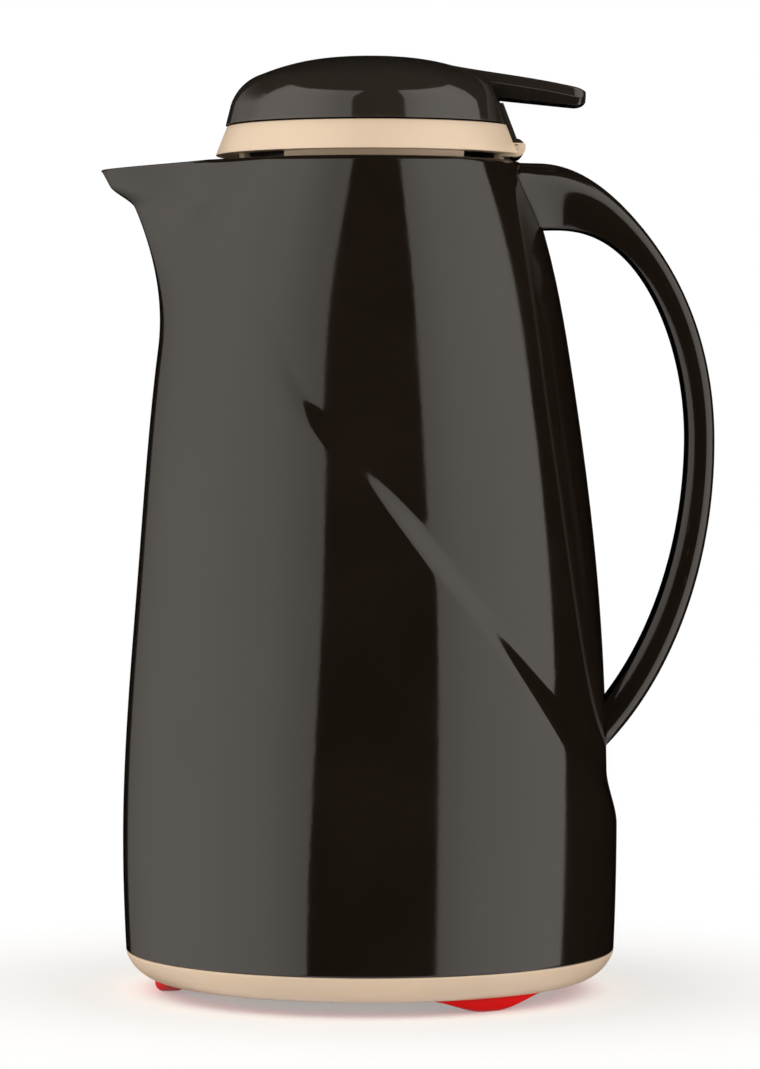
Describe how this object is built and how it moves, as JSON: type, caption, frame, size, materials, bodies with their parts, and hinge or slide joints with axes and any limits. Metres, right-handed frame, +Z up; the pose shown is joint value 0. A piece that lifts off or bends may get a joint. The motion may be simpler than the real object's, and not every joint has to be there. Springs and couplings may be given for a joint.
{
  "type": "thermal carafe",
  "caption": "Thermal carafe: gloss casing with pinched spout and loop handle, glass vacuum flask, screw-in lid and hinged cap whose thumb lever lifts the pouring valve.",
  "frame": {"origin": "on the flask's axis, on the plane that the three feet stand on", "axes": "+Z up along the flask's axis, +X towards the handle, -X towards the spout; XZ is the plane of symmetry"},
  "size_m": [0.1711, 0.1378, 0.2599],
  "materials": {
    "casing_gloss": "moulded, high gloss, dark brown-black",
    "cap_gloss": "moulded, high gloss, black",
    "pale_plastic": "moulded, satin, pale beige",
    "red_rubber": "soft moulded, satin red",
    "flask_glass": "silvered double-walled glass",
    "silicone": "soft moulded, matt",
    "inner_plastic": "moulded, satin black",
    "steel": "drawn stainless steel"
  },
  "bodies": {
    "casing": {"casing_shell": "casing_gloss", "handle": "casing_gloss", "handle_screw": "steel", "base_cover": "pale_plastic", "foot_ring": "red_rubber", "flask_inner": "flask_glass", "flask_outer": "flask_glass", "refill_buffer": "silicone", "neck_collar": "inner_plastic", "neck_gasket": "silicone"},
    "gasket": {"stopper_gasket": "silicone"},
    "lid": {"lid_ring": "pale_plastic", "stopper_body": "inner_plastic", "stopper_screws": "steel", "stem_bush": "inner_plastic", "valve_spring": "steel", "hinge_pin": "steel"},
    "cap": {"cap_shell": "cap_gloss", "cap_liner": "inner_plastic", "liner_screws": "steel", "stem_yoke": "inner_plastic"},
    "valve": {"valve_stem": "inner_plastic", "valve_disc": "inner_plastic", "valve_seal": "silicone", "stem_clip": "steel"}
  },
  "joints": [
    {"name": "lid_rise", "type": "slide", "parent": "casing", "child": "gasket", "axis": [0, 0, 1], "range_m": [0, 0.0241]},
    {"name": "lid_turn", "type": "hinge", "parent": "gasket", "child": "lid", "pos_m": [0, 0, 0.2175], "axis": [0, 0, 1], "range_deg": [0, 360]},
    {"name": "cap_hinge", "type": "hinge", "parent": "lid", "child": "cap", "pos_m": [0.0405, 0, 0.2342], "axis": [0, 1, 0], "range_deg": [0, 10], "stiffness_Nm_per_rad": 1, "springref_deg": -11.46},
    {"name": "valve_lift", "type": "slide", "parent": "lid", "child": "valve", "axis": [0, 0, 1], "range_m": [0, 0.0083], "deforming": ["valve_spring"]}
  ],
  "couplings": [
    {"joint": "lid_rise", "follows": "lid_turn", "m_per_rad": 0.0038197},
    {"joint": "valve_lift", "follows": "cap_hinge", "m_per_rad": 0.047}
  ]
}
